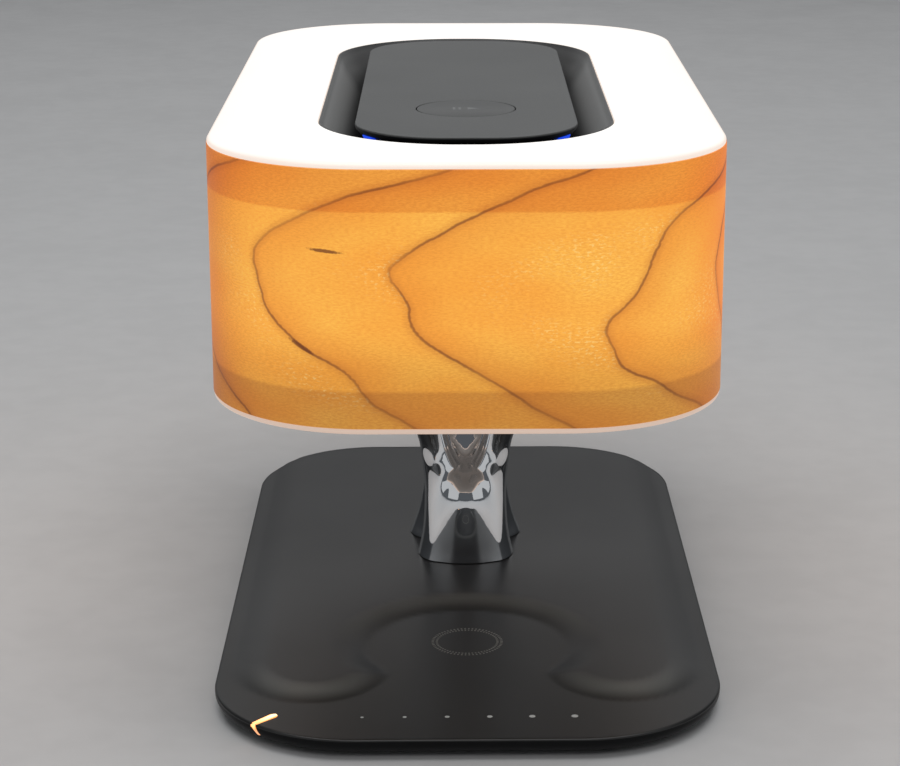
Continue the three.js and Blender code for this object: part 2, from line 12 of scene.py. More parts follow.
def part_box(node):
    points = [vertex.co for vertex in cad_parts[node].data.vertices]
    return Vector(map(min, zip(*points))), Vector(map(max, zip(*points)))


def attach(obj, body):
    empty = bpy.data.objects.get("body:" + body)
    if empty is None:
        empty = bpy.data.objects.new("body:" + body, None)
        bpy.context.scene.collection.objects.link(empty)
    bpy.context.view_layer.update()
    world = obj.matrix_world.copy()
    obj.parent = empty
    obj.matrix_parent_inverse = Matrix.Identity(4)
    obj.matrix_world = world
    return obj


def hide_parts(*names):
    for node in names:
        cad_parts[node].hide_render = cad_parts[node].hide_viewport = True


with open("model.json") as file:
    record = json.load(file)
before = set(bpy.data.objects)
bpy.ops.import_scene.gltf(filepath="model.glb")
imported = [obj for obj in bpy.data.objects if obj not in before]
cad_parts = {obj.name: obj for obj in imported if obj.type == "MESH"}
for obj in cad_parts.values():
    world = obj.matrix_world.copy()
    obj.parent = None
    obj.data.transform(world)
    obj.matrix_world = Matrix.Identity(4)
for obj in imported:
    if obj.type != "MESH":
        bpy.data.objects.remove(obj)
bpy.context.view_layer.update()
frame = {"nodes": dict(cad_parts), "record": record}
SEED = 7
MM = 0.001
BODY = "lamp"

# -------- sizes, from the frame
base_low, base_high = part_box("base_top_shell")
shade_low, shade_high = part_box("veneer_band")
upper_low, upper_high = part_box("upper_diffuser")
lower_low, lower_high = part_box("lower_diffuser")
plate_low, plate_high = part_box("speaker_top_plate")
tray_low, tray_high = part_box("recess_tray")
button_low, button_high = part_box("play_button")
trunk_low, trunk_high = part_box("trunk")


class Outline:
    """A rounded rectangle in plan, with as many points at every inset."""

    def __init__(self, low, high, corner, arc_steps=28, front_steps=16, side_steps=60):
        self.half_x = (high.x - low.x) / 2
        self.half_y = (high.y - low.y) / 2
        self.centre_y = (high.y + low.y) / 2
        self.corner = corner
        self.steps = (front_steps, arc_steps, side_steps)

    def points(self, inset=0.0):
        """Counter-clockwise from the middle of the back."""
        hx, hy = self.half_x - inset, self.half_y - inset
        r = max(self.corner - inset, 0.4 * MM)
        front, arc, side = self.steps
        half = front // 2
        pts = []

        def straight(x0, y0, x1, y1, count):
            for i in range(count):
                t = i / count
                pts.append((x0 + (x1 - x0) * t, y0 + (y1 - y0) * t))

        def turn(cx, cy, start):
            for i in range(arc):
                a = start + math.pi / 2 * i / arc
                pts.append((cx + r * math.cos(a), cy + r * math.sin(a)))

        straight(0, hy, r - hx, hy, half)
        turn(r - hx, hy - r, math.pi / 2)
        straight(-hx, hy - r, -hx, r - hy, side)
        turn(r - hx, r - hy, math.pi)
        straight(r - hx, -hy, hx - r, -hy, front)
        turn(hx - r, r - hy, math.pi * 1.5)
        straight(hx, r - hy, hx, hy - r, side)
        turn(hx - r, hy - r, 0)
        straight(hx - r, hy, 0, hy, half)
        return np.array(pts) + [0, self.centre_y]

    def distance(self, x, y):
        """How far inside the outline a point is."""
        qx = np.abs(x) - (self.half_x - self.corner)
        qy = np.abs(y - self.centre_y) - (self.half_y - self.corner)
        outside = np.hypot(np.maximum(qx, 0), np.maximum(qy, 0))
        return self.corner - outside - np.minimum(np.maximum(qx, qy), 0)


SHADE_CORNER = 54.4 * MM
BASE_CORNER = 50.5 * MM
RECESS_CORNER = 47.7 * MM
PLATE_CORNER = 30 * MM
SHADE = Outline(shade_low, shade_high, SHADE_CORNER, arc_steps=56, front_steps=42, side_steps=144)
RIM = Outline(upper_low, upper_high, SHADE_CORNER)
BASE = Outline(base_low, base_high, BASE_CORNER, arc_steps=40, front_steps=28, side_steps=84)
RECESS = Outline(tray_low, tray_high, RECESS_CORNER)
PLATE = Outline(plate_low, plate_high, PLATE_CORNER)


# -------- mesh helpers
def add_object(name, mesh, material, sharp_degrees):
    """Puts a mesh in the scene, smooth but for its sharp edges."""
    mesh.shade_smooth()
    mesh.set_sharp_from_angle(angle=math.radians(sharp_degrees))
    mesh.materials.append(material)
    obj = bpy.data.objects.new(name, mesh)
    bpy.context.scene.collection.objects.link(obj)
    return obj


def make_mesh(name, vertices, faces, material, sharp_degrees=35):
    mesh = bpy.data.meshes.new(name)
    mesh.from_pydata([tuple(v) for v in vertices], [], faces)
    mesh.validate()
    return add_object(name, mesh, material, sharp_degrees)


def ring_at(outline, inset, z):
    """A level ring of points at an inset from an outline."""
    flat = outline.points(inset)
    return np.column_stack([flat, np.full(len(flat), z)])


def middle(low, high):
    return (low.x + high.x) / 2, (low.y + high.y) / 2


def circle_at(centre, radius, z, steps=96):
    """A level circle of points."""
    a = np.arange(steps) / steps * 2 * math.pi
    x, y = centre[0] + radius * np.cos(a), centre[1] + radius * np.sin(a)
    return np.column_stack([x, y, np.full(steps, z)])


def ring_faces(count, rows, closed=False):
    """Quads between successive rings of points."""
    faces = []
    for row in range(rows if closed else rows - 1):
        a, b = row * count, ((row + 1) % rows) * count
        for i in range(count):
            j = (i + 1) % count
            faces.append((a + i, a + j, b + j, b + i))
    return faces


def skin_rings(bm, rings):
    """Joins successive rings of vertices with quads, in a mesh under construction."""
    for low, high in zip(rings, rings[1:]):
        for i in range(len(low)):
            j = (i + 1) % len(low)
            bm.faces.new((low[i], low[j], high[j], high[i]))


def add_prism(vertices, faces, corners, low, high):
    """Adds an upright prism over a flat shape to the lists of a mesh under construction."""
    start, count = len(vertices), len(corners)
    vertices += [(x, y, z) for z in (low, high) for x, y in corners]
    faces += [tuple(range(start + count, start + 2 * count)), tuple(reversed(range(start, start + count)))]
    for i in range(count):
        j = (i + 1) % count
        faces.append((start + i, start + j, start + count + j, start + count + i))


def sweep(name, outline, profile, material, closed=True):
    """A profile of (inset, z) carried round an outline: a closed tube, or a solid capped at both ends."""
    rings = [ring_at(outline, inset, z) for inset, z in profile]
    count = len(rings[0])
    faces = ring_faces(count, len(rings), closed)
    if not closed:
        last = (len(rings) - 1) * count
        faces += [tuple(reversed(range(count))), tuple(range(last, last + count))]
    return make_mesh(name, np.vstack(rings), faces, material)


def turned(name, centre, profile, material, steps):
    """A closed profile of (radius, z) turned about a vertical axis; it starts and ends on the axis."""
    angles = np.arange(steps) / steps * 2 * math.pi
    vertices = [(centre[0], centre[1], profile[0][1])]
    for radius, z in profile[1:-1]:
        for a in angles:
            vertices.append((centre[0] + radius * math.cos(a), centre[1] + radius * math.sin(a), z))
    vertices.append((centre[0], centre[1], profile[-1][1]))
    faces = [(0, 1 + (i + 1) % steps, 1 + i) for i in range(steps)]
    rows = len(profile) - 2
    for face in ring_faces(steps, rows):
        faces.append(tuple(1 + i for i in face))
    end, last = len(vertices) - 1, 1 + (rows - 1) * steps
    faces += [(end, last + i, last + (i + 1) % steps) for i in range(steps)]
    return make_mesh(name, vertices, faces, material)


# -------- node helpers
class Shader:
    """A Principled material and short ways to add nodes to it."""

    def __init__(self, name, color, roughness, metallic=0.0, **constants):
        self.material = bpy.data.materials.new(name)
        self.material.use_nodes = True
        self.tree = self.material.node_tree
        self.principled = self.tree.nodes["Principled BSDF"]
        self.set("Base Color", (*color, 1.0))
        self.set("Roughness", roughness)
        self.set("Metallic", metallic)
        for key, value in constants.items():
            self.set(key.replace("_", " "), value)

    def set(self, socket, value):
        target = self.principled.inputs[socket]
        if isinstance(value, bpy.types.NodeSocket):
            self.tree.links.new(value, target)
        else:
            target.default_value = value

    def node(self, kind, inputs=(), **settings):
        made = self.tree.nodes.new(kind)
        for key, value in settings.items():
            setattr(made, key, value)
        for key, value in dict(inputs).items():
            if isinstance(value, bpy.types.NodeSocket):
                self.tree.links.new(value, made.inputs[key])
            else:
                made.inputs[key].default_value = value
        return made

    def coordinates(self):
        return self.node("ShaderNodeTexCoord").outputs["Object"]

    def uv(self, layer):
        return self.node("ShaderNodeUVMap", uv_map=layer).outputs["UV"]

    def stretch(self, vector, scale):
        return self.node("ShaderNodeMapping", {"Vector": vector, "Scale": scale}).outputs["Vector"]

    def axis(self, vector, letter):
        return self.node("ShaderNodeSeparateXYZ", {0: vector}).outputs[letter]

    def noise(self, vector, scale, detail=3.0, roughness=0.55):
        inputs = {"Vector": vector, "Scale": scale, "Detail": detail, "Roughness": roughness}
        return self.node("ShaderNodeTexNoise", inputs).outputs["Fac"]

    def math(self, operation, a, b=0.0, c=0.0):
        return self.node("ShaderNodeMath", {0: a, 1: b, 2: c}, operation=operation).outputs[0]

    def product(self, first, *others):
        for other in others:
            first = self.math("MULTIPLY", first, other)
        return first

    def ramp(self, value, low, high, to_low=0.0, to_high=1.0):
        """A smooth step from one number to another as the value goes from low to high."""
        inputs = {"Value": value, "From Min": low, "From Max": high, "To Min": to_low, "To Max": to_high}
        made = self.node("ShaderNodeMapRange", inputs, interpolation_type="SMOOTHSTEP", clamp=True)
        return made.outputs["Result"]

    def mix(self, factor, a, b, blend="MIX"):
        made = self.node("ShaderNodeMix", data_type="RGBA", blend_type=blend)
        for index, value in ((0, factor), (6, a), (7, b)):
            if isinstance(value, bpy.types.NodeSocket):
                self.tree.links.new(value, made.inputs[index])
            elif index:
                made.inputs[index].default_value = (*value[:3], 1.0)
            else:
                made.inputs[index].default_value = value
        return made.outputs[2]

    def tinted(self, factor, color, tint):
        """The colour multiplied by a tint, where the factor says so."""
        return self.mix(factor, color, self.mix(1.0, color, tint, "MULTIPLY"))

    def scaled(self, color, factor):
        """The colour made brighter or darker by a number."""
        inputs = {0: color, "Scale": factor}
        return self.node("ShaderNodeVectorMath", inputs, operation="SCALE").outputs["Vector"]

    def inset(self, vector, outline):
        """Distance inwards from a rounded outline."""
        from_middle = self.math("SUBTRACT", self.axis(vector, "Y"), outline.centre_y)
        off_middle = self.math("ABSOLUTE", self.axis(vector, "X"))
        over_x = self.math("SUBTRACT", off_middle, outline.half_x - outline.corner)
        over_y = self.math("SUBTRACT", self.math("ABSOLUTE", from_middle), outline.half_y - outline.corner)
        inner = self.math("MINIMUM", self.math("MAXIMUM", over_x, over_y), 0.0)
        outer_x, outer_y = self.math("MAXIMUM", over_x, 0.0), self.math("MAXIMUM", over_y, 0.0)
        squares = self.math("ADD", self.math("POWER", outer_x, 2.0), self.math("POWER", outer_y, 2.0))
        outer = self.math("SQRT", squares)
        return self.math("SUBTRACT", outline.corner, self.math("ADD", inner, outer))

    def glow(self, color, strength=1.0):
        self.set("Emission Color", color)
        self.set("Emission Strength", strength)

    def bump(self, height, distance, strength=1.0):
        inputs = {"Height": height, "Distance": distance, "Strength": strength}
        self.set("Normal", self.node("ShaderNodeBump", inputs).outputs["Normal"])


def plain(name, dark, light, roughness, metallic=0.0, speckle=900.0, bump=0.00002, **constants):
    """A moulded or machined surface: two close colours in fine mottling, with its own micro texture."""
    shader = Shader(name, light, roughness, metallic, **constants)
    place = shader.coordinates()
    broad = shader.noise(place, 14.0, 2.0)
    fine = shader.noise(place, speckle, 2.0)
    share = shader.math("MULTIPLY_ADD", fine, 0.5, shader.product(broad, 0.5))
    shader.set("Base Color", shader.mix(shader.ramp(share, 0.35, 0.65), dark, light))
    shader.set("Roughness", shader.ramp(broad, 0.3, 0.7, roughness * 0.92, min(roughness * 1.08, 1.0)))
    shader.bump(fine, bump)
    return shader.material


def glowing(name, color, strength, edge_color):
    """A lit light guide, clouded between two strengths of its colour."""
    shader = Shader(name, edge_color, 0.4)
    cloud = shader.noise(shader.coordinates(), 260.0, 1.0)
    shader.glow(shader.mix(shader.ramp(cloud, 0.3, 0.6), edge_color, color), strength)
    return shader.material


# -------- materials of the visible surfaces
def charcoal():
    """Soft-touch moulding of the base, satin, with painted light: painted shade on the low strip and bay, a
    painted highlight on the slopes, near black painted shade on the undercut side.
    """
    shader = Shader("charcoal", (0.02, 0.02, 0.02), 0.36, Specular_IOR_Level=0.5)
    place = shader.coordinates()
    painted_light_shares = shader.node("ShaderNodeAttribute", attribute_name="relief").outputs["Vector"]
    level, slope, side = (shader.axis(painted_light_shares, letter) for letter in "XYZ")
    broad = shader.noise(place, 9.0, 3.0)
    grain = shader.noise(place, 1500.0, 2.0)
    # Painted shade: the lower front strip and bay are made darker than the raised plate.
    tone = shader.mix(level, (0.007, 0.007, 0.0068), (0.015, 0.0148, 0.0145))
    tone = shader.mix(shader.ramp(broad, 0.3, 0.7, 0.0, 0.2), tone, (0.014, 0.0135, 0.013))
    # Painted highlight on the slopes that face the front.
    tone = shader.mix(slope, tone, (0.19, 0.193, 0.18))
    # Painted shade: the undercut side goes near black.
    shader.set("Base Color", shader.mix(side, tone, (0.003, 0.0032, 0.0038)))
    shader.set("Roughness", shader.ramp(broad, 0.3, 0.7, 0.34, 0.38))
    shader.set("Specular IOR Level", shader.ramp(side, 0.0, 1.0, 0.5, 0.15))
    shader.bump(grain, 0.00002, 0.5)
    return shader.material


def chrome():
    """Polished casting: a mirror with a faint waviness left by the polishing."""
    shader = Shader("chrome", (0.86, 0.88, 0.9), 0.035, 1.0)
    place = shader.coordinates()
    haze = shader.noise(place, 60.0, 2.0)
    shader.set("Base Color", shader.mix(haze, (0.80, 0.83, 0.86), (0.93, 0.94, 0.95)))
    shader.set("Roughness", shader.ramp(haze, 0.3, 0.7, 0.02, 0.05))
    shader.bump(shader.noise(place, 38.0, 1.0), 0.0006, 0.35)
    return shader.material


def veneer():
    """Backlit cherry veneer: brown growth lines, deeper orange behind each, level fibres and flecks, and a
    glow shaded with painted light.
    """
    shader = Shader("veneer", (0.6, 0.3, 0.1), 0.42, Specular_IOR_Level=0.35)
    surface = shader.uv("veneer")
    growth, span = (shader.axis(shader.uv("growth"), letter) for letter in "XY")
    height = shader.axis(surface, "Y")

    wander = shader.noise(surface, 85.0, 2.0)
    ragged = shader.noise(surface, 700.0, 2.0)
    moved = shader.math("MULTIPLY_ADD", wander, 0.05, growth)
    moved = shader.math("MULTIPLY_ADD", ragged, 0.012, moved)
    turn = shader.math("FRACT", shader.math("SUBTRACT", moved, 0.031))
    nearest = shader.math("MINIMUM", turn, shader.math("SUBTRACT", 1.0, turn))
    away = shader.product(nearest, span)
    behind = shader.product(turn, span)
    line = shader.ramp(away, 0.12 * MM, 0.72 * MM, 1.0, 0.0)
    halo = shader.ramp(away, 0.3 * MM, 3.2 * MM, 1.0, 0.0)
    weight = shader.ramp(shader.noise(surface, 26.0, 1.0), 0.35, 0.62, 0.5, 1.0)
    deep = shader.ramp(behind, 0.0, 17 * MM, 1.0, 0.0)

    fibre = shader.noise(shader.stretch(surface, (620, 2200, 1)), 1.0, 4.0, 0.72)
    cloud = shader.noise(shader.stretch(surface, (16, 34, 1)), 1.0, 2.0)
    fleck = shader.noise(shader.stretch(surface, (700, 1300, 1)), 1.0, 2.0, 0.5)
    flecked = shader.product(shader.ramp(fleck, 0.53, 0.68), shader.ramp(behind, 16 * MM, 44 * MM),
                             shader.ramp(shader.noise(surface, 30.0, 1.0), 0.42, 0.58))

    wood = shader.mix(shader.ramp(cloud, 0.3, 0.7), (0.97, 0.4, 0.053), (1.0, 0.505, 0.08))
    wood = shader.mix(shader.product(deep, 0.6), wood, (0.84, 0.285, 0.036))
    wood = shader.mix(shader.ramp(fibre, 0.38, 0.62, 0.0, 0.42), wood, (0.66, 0.225, 0.03))
    wood = shader.mix(shader.product(flecked, 0.5), wood, (1.0, 0.72, 0.26))
    wood = shader.mix(shader.product(halo, 0.4), wood, (0.58, 0.19, 0.03))
    wood = shader.mix(shader.product(line, weight, 0.74), wood, (0.2, 0.06, 0.018))
    for mark in marks(shader, surface):
        wood = shader.mix(shader.product(mark, 0.85), wood, (0.15, 0.04, 0.012))

    # The glow is shaded with painted light: painted shade at the corners, heavier on the left, dimmer towards
    # the lower lip, and painted shadows of the diffusers' inner lips in bands at the top and bottom.
    around = shader.axis(surface, "X")
    off_front = shader.math("ABSOLUTE", around)
    corner_painted_shade = shader.product(shader.ramp(off_front, 66 * MM, 104 * MM),
                                shader.ramp(off_front, 120 * MM, 170 * MM, 1.0, 0.0))
    lopsided_painted_shade = shader.ramp(around, -80 * MM, 80 * MM, 0.3, 0.06)
    around_lit = shader.math("SUBTRACT", 1.0, shader.product(corner_painted_shade, lopsided_painted_shade))
    lip_top, lip_bottom = upper_low.z, lower_high.z
    lower_glow = shader.ramp(height, lip_bottom - 2 * MM, lip_bottom + 22 * MM, 0.76, 1.0)
    lit = shader.scaled(wood, shader.product(around_lit, lower_glow))
    lit = shader.tinted(corner_painted_shade, lit, (1.0, 0.74, 0.6))
    # Painted shadows of the inner lips of the upper and lower diffusers.
    upper_lip_painted_shadow = shader.ramp(height, lip_top - 0.5 * MM, lip_top + 0.5 * MM)
    lower_lip_painted_shadow = shader.ramp(height, lip_bottom - 0.9 * MM, lip_bottom + 0.7 * MM, 1.0, 0.0)
    lit = shader.tinted(upper_lip_painted_shadow, lit, (0.86, 0.68, 0.60))
    lit = shader.tinted(lower_lip_painted_shadow, lit, (0.74, 0.70, 0.78))
    shader.set("Base Color", shader.scaled(wood, 0.16))
    shader.glow(lit, 0.95)
    shader.bump(fibre, 0.00004, 0.6)
    return shader.material


def marks(shader, surface):
    """Short dark streaks in the wood, as masks: (distance round, height, length, thickness, tilt)."""
    streaks = [(-45.2, 175.2, 13.5, 1.5, -5), (-53.7, 143.5, 12, 2.0, -28), (160, 152, 11, 1.4, 4),
               (-235, 168, 15, 1.6, -8), (330, 140, 9, 1.5, 10)]
    for around, height, length, thickness, tilt in streaks:
        moved = shader.node("ShaderNodeMapping", {
            "Vector": surface,
            "Location": (around * MM, height * MM, 0),
            "Rotation": (0, 0, math.radians(tilt)),
            "Scale": (length / 2 * MM, thickness / 2 * MM, 1),
        }, vector_type="TEXTURE").outputs["Vector"]
        size = shader.node("ShaderNodeVectorMath", {0: moved}, operation="LENGTH").outputs["Value"]
        broken = shader.math("MULTIPLY_ADD", shader.noise(surface, 900.0, 2.0), 0.7, size)
        yield shader.ramp(broken, 0.85, 1.35, 1.0, 0.0)


def opal(name, outline, flat_z, centre, border, rim):
    """Lit opal plastic: even in the middle, warmer towards its border, and dimmer on the rolled rim."""
    shader = Shader(name, (0.3, 0.27, 0.25), 0.35)
    place = shader.coordinates()
    off_flat = shader.math("ABSOLUTE", shader.math("SUBTRACT", shader.axis(place, "Z"), flat_z))
    tone = shader.mix(shader.ramp(shader.inset(place, outline), 1.5 * MM, 24 * MM), border, centre)
    tone = shader.mix(shader.ramp(off_flat, 0.08 * MM, 0.8 * MM), tone, rim)
    cloud = shader.ramp(shader.noise(place, 22.0, 2.0), 0.3, 0.7, 0.98, 1.0)
    shader.glow(shader.scaled(tone, cloud))
    shader.bump(shader.noise(place, 1200.0, 1.0), 0.00001, 0.3)
    return shader.material


def amber_light(corner, outward):
    """Charge light: nearly white along its middle, deep orange at its sides, paler where it folds down."""
    shader = Shader("amber_light", (0.9, 0.4, 0.12), 0.4)
    place = shader.coordinates()
    away_x = shader.math("SUBTRACT", shader.axis(place, "X"), corner[0])
    away_y = shader.math("SUBTRACT", shader.axis(place, "Y"), corner[1])
    along = shader.math("ADD", shader.product(away_x, outward[0]), shader.product(away_y, outward[1]))
    aside = shader.math("SUBTRACT", shader.product(away_y, outward[0]), shader.product(away_x, outward[1]))
    outer_part = shader.ramp(along, BASE_CORNER - 9 * MM, BASE_CORNER - 1 * MM)
    near_side = shader.ramp(shader.math("ABSOLUTE", aside), CHARGE_LIGHT_HALF * 0.35, CHARGE_LIGHT_HALF * 0.9)
    fold = shader.ramp(shader.axis(place, "Z"), 5.6 * MM, 7.0 * MM, 1.0, 0.0)
    tone = shader.mix(outer_part, (2.6, 1.75, 0.95), (1.7, 0.82, 0.34))
    tone = shader.mix(near_side, tone, (1.1, 0.3, 0.045))
    tone = shader.mix(fold, tone, (0.95, 0.42, 0.23))
    cloud = shader.ramp(shader.noise(place, 700.0, 1.0), 0.3, 0.7, 0.85, 1.0)
    shader.glow(shader.scaled(tone, cloud))
    return shader.material


def graphite():
    """Satin dark grey of the plate and its button, with painted shade: near black on the undercut below the
    top edge.
    """
    shader = Shader("graphite", (0.11, 0.112, 0.111), 0.45, Specular_IOR_Level=0.4)
    place = shader.coordinates()
    fine = shader.noise(place, 1700.0, 2.0)
    share = shader.math("MULTIPLY_ADD", fine, 0.5, shader.product(shader.noise(place, 14.0, 2.0), 0.5))
    tone = shader.mix(shader.ramp(share, 0.35, 0.65), (0.1, 0.102, 0.101), (0.122, 0.124, 0.122))
    # Painted shade: below the top edge the colour goes near black.
    face = shader.ramp(shader.axis(place, "Z"), plate_high.z - 0.75 * MM, plate_high.z - 0.3 * MM)
    shader.set("Base Color", shader.mix(face, (0.006, 0.006, 0.007), tone))
    shader.bump(fine, 0.00002)
    return shader.material


def tray_finish():
    """Satin black of the tray: light falls on its walls near the mouth and is lost towards the floor."""
    shader = Shader("tray_satin", (0.06, 0.06, 0.062), 0.42, Specular_IOR_Level=0.35)
    place = shader.coordinates()
    behind_middle = shader.math("SUBTRACT", shader.axis(place, "Y"), RECESS.centre_y)
    depth = shader.inset(place, RECESS)
    wall = shader.ramp(depth, 2.5 * MM, 11.5 * MM, 1.0, 0.0)
    mouth = shader.ramp(depth, 0.5 * MM, 2.2 * MM, 0.25, 1.0)
    rear = shader.ramp(behind_middle, 50 * MM, 95 * MM, 1.0, 0.3)
    front = shader.ramp(behind_middle, -112 * MM, -85 * MM)
    grain = shader.noise(place, 1500.0, 2.0)
    tone = shader.mix(shader.product(wall, rear, front, mouth), (0.005, 0.005, 0.006), (0.44, 0.44, 0.435))
    shader.set("Base Color", shader.scaled(tone, shader.ramp(grain, 0.3, 0.7, 0.9, 1.0)))
    shader.bump(grain, 0.00002, 0.6)
    return shader.material


CHARCOAL = charcoal()
CHROME = chrome()
GRAPHITE = graphite()
TRAY_BLACK = tray_finish()
FRAME_MATERIALS = {
    "steel": plain("zinc_steel", (0.36, 0.37, 0.39), (0.5, 0.51, 0.53), 0.34, 1.0, speckle=500.0),
    "rubber": plain("rubber", (0.010, 0.010, 0.010), (0.018, 0.018, 0.018), 0.8, speckle=800.0),
    "copper": plain("copper_wire", (0.46, 0.17, 0.07), (0.72, 0.33, 0.16), 0.28, 1.0, speckle=700.0),
    "ferrite": plain("ferrite", (0.035, 0.035, 0.038), (0.06, 0.06, 0.064), 0.6),
    "circuit_board": plain("solder_mask", (0.008, 0.085, 0.03), (0.016, 0.14, 0.05), 0.35, speckle=300.0),
    "aluminium": plain("aluminium", (0.52, 0.53, 0.55), (0.68, 0.69, 0.7), 0.38, 1.0, speckle=400.0),
    "led_white": plain("led_board", (0.78, 0.78, 0.75), (0.9, 0.9, 0.87), 0.45),
    "liner": plain("liner_film", (0.86, 0.82, 0.74), (0.95, 0.92, 0.85), 0.55),
    "black_plastic": plain("black_plastic", (0.018, 0.018, 0.019), (0.034, 0.034, 0.036), 0.45),
    "cable": plain("cable_sheath", (0.010, 0.010, 0.011), (0.02, 0.02, 0.021), 0.6),
    "cone_paper": plain("cone_paper", (0.012, 0.012, 0.012), (0.026, 0.026, 0.026), 0.85, speckle=420.0,
                        bump=0.00008),
}


# -------- charging base
PLATEAU_Z = base_high.z
FRONT_Z = 7.9 * MM
RIM_Z = 7.4 * MM
SKIRT_Z = base_low.z
SLOPE = 13 * MM
CAVITY_INSET = 9.8 * MM
BAY_Y, BAY_RADIUS = -78 * MM, 37 * MM
LOBE_X, LOBE_Y, LOBE_RADIUS = 57 * MM, -99 * MM, 29 * MM
FRONT_HALF, FRONT_Y, FRONT_CORNER = 84 * MM, -129 * MM, 34 * MM
MARK_Y = -73.3 * MM
EDGE_WIDTH = 6 * MM


def smooth_least(a, b, width):
    """The lesser of two fields, with the crease between them rounded off."""
    h = np.clip(0.5 + 0.5 * (b - a) / width, 0, 1)
    return b + (a - b) * h - width * h * (1 - h)


def base_height(x, y):
    """Top of the base: a low front strip runs into a round bay between two lobes of the main plate."""
    side = np.abs(x)
    front_x = np.maximum(side - FRONT_HALF + FRONT_CORNER, 0)
    front_y = np.maximum(FRONT_Y + FRONT_CORNER - y, 0)
    behind_front = FRONT_CORNER - np.hypot(front_x, front_y)
    outside_bay = np.hypot(x, y - BAY_Y) - BAY_RADIUS
    upper_neck = np.maximum(side - (LOBE_X - LOBE_RADIUS), y - BAY_Y)
    lower_neck = LOBE_RADIUS - np.hypot(np.minimum(side - LOBE_X, 0), y - LOBE_Y)
    outside_neck = np.where(y > LOBE_Y, upper_neck, lower_neck)
    away = smooth_least(smooth_least(outside_bay, outside_neck, 3 * MM), behind_front, 3 * MM)
    rise = np.clip(away / SLOPE, 0, 1)
    eased = rise * rise * (3 - 2 * rise)
    return FRONT_Z + (PLATEAU_Z - FRONT_Z) * (0.7 * rise * (2 - rise) + 0.3 * eased)


def edge_height(inset):
    """The rolled edge that limits the top near the outline."""
    share = np.clip(inset / EDGE_WIDTH, 0, 1)
    return RIM_Z + (PLATEAU_Z - RIM_Z + 0.6 * MM) * (1 - (1 - share) ** 3.2)


def surface_z(x, y):
    """Height of the finished top of the base."""
    return smooth_least(base_height(x, y), edge_height(BASE.distance(x, y)), 0.35 * MM)


def base_shell():
    """The moulded shell: an undercut side, then rings that shrink onto a line down the middle of the top."""
    side = [(CAVITY_INSET, 6.0 * MM), (CAVITY_INSET, SKIRT_Z), (7.7 * MM, SKIRT_Z)]
    for step in range(1, 12):
        angle = math.pi / 2 * step / 11
        side.append((7.6 * MM * (1 - math.sin(angle)) ** 1.15,
                     SKIRT_Z + (RIM_Z - 0.9 * MM - SKIRT_Z) * (1 - math.cos(angle)) ** 0.8))
    side += [(0.1 * MM, RIM_Z - 0.35 * MM), (0.0, RIM_Z - 0.15 * MM)]
    rings = [ring_at(BASE, inset, z) for inset, z in side]
    rim = BASE.points()
    spine_half = BASE.half_y - BASE.half_x
    spine = np.column_stack([np.zeros(len(rim)), np.clip(rim[:, 1], -spine_half, spine_half)])
    for share in np.concatenate([[0, 0.004, 0.012, 0.022], np.linspace(0.035, 0.985, 52)]):
        flat = rim + (spine - rim) * share
        rings.append(np.column_stack([flat, surface_z(flat[:, 0], flat[:, 1])]))
    count = len(rim)
    faces = ring_faces(count, len(rings))
    faces.append(tuple(reversed(range(count))))
    last = (len(rings) - 1) * count
    for i in range(count // 2):
        across = [last + i, last + i + 1, last + count - i - 1, last + (count - i) % count]
        faces.append(tuple(dict.fromkeys(across)))
    shell = make_mesh("base_shell", np.vstack(rings), faces, CHARCOAL, 50)
    cut_inlet(shell)
    mark_painted_light_shares(shell)
    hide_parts("base_top_shell")
    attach(shell, BODY)


def mark_painted_light_shares(shell):
    """Keeps three shares per vertex for the base's painted light: its level (painted shade on the low parts),
    its slope towards the front (painted highlight), and if it is on the side (painted shade on the undercut).
    """
    count = len(shell.data.vertices)
    place = np.empty(count * 3)
    shell.data.vertices.foreach_get("co", place)
    x, y, z = place.reshape(-1, 3).T
    reach = 0.5 * MM
    level = np.clip((base_height(x, y) - FRONT_Z) / (PLATEAU_Z - FRONT_Z), 0, 1)
    slope = (surface_z(x, y + reach) - surface_z(x, y - reach)) / (2 * reach)
    painted_highlight_share = np.clip(slope / 0.2, 0, 1) * np.clip(BASE.distance(x, y) / (9 * MM) - 1, 0, 1)
    sides = (z < RIM_Z - 0.3 * MM).astype(float)
    level = level * (1 - sides) + 0.35 * sides
    painted_light_shares = np.column_stack([level ** 1.5, painted_highlight_share * level * (1 - sides), sides])
    attribute = shell.data.attributes.new("relief", "FLOAT_VECTOR", "POINT")
    attribute.data.foreach_set("vector", painted_light_shares.ravel())


def cut_inlet(shell):
    """Opens the slot in the back of the skirt, round the power inlet."""
    low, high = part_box("power_inlet")
    margin, reach = 0.3 * MM, 12 * MM
    half_z = (high.z - low.z) / 2 + margin
    half_x = high.x + margin - half_z
    mid_z = (high.z + low.z) / 2
    section = []
    for side_x, start in ((1, -90), (-1, 90)):
        for step in range(13):
            a = math.radians(start + 15 * step)
            section.append((side_x * half_x + half_z * math.cos(a), mid_z + half_z * math.sin(a)))
    count = len(section)
    rows = [[(x, y, z) for x, z in section] for y in (low.y - margin, high.y + reach)]
    faces = ring_faces(count, 2) + [tuple(reversed(range(count))), tuple(range(count, 2 * count))]
    cutter = make_mesh("cutter", rows[0] + rows[1], faces, CHARCOAL)
    repair = bmesh.new()
    repair.from_mesh(cutter.data)
    bmesh.ops.recalc_face_normals(repair, faces=repair.faces)
    repair.to_mesh(cutter.data)
    repair.free()
    modifier = shell.modifiers.new("inlet", "BOOLEAN")
    modifier.object = cutter
    modifier.solver = "EXACT"
    apply_modifiers(shell)
    bpy.data.objects.remove(cutter)


def apply_modifiers(obj):
    """Bakes an object's modifiers into its mesh."""
    graph = bpy.context.evaluated_depsgraph_get()
    made = bpy.data.meshes.new_from_object(obj.evaluated_get(graph))
    obj.modifiers.clear()
    obj.data = made


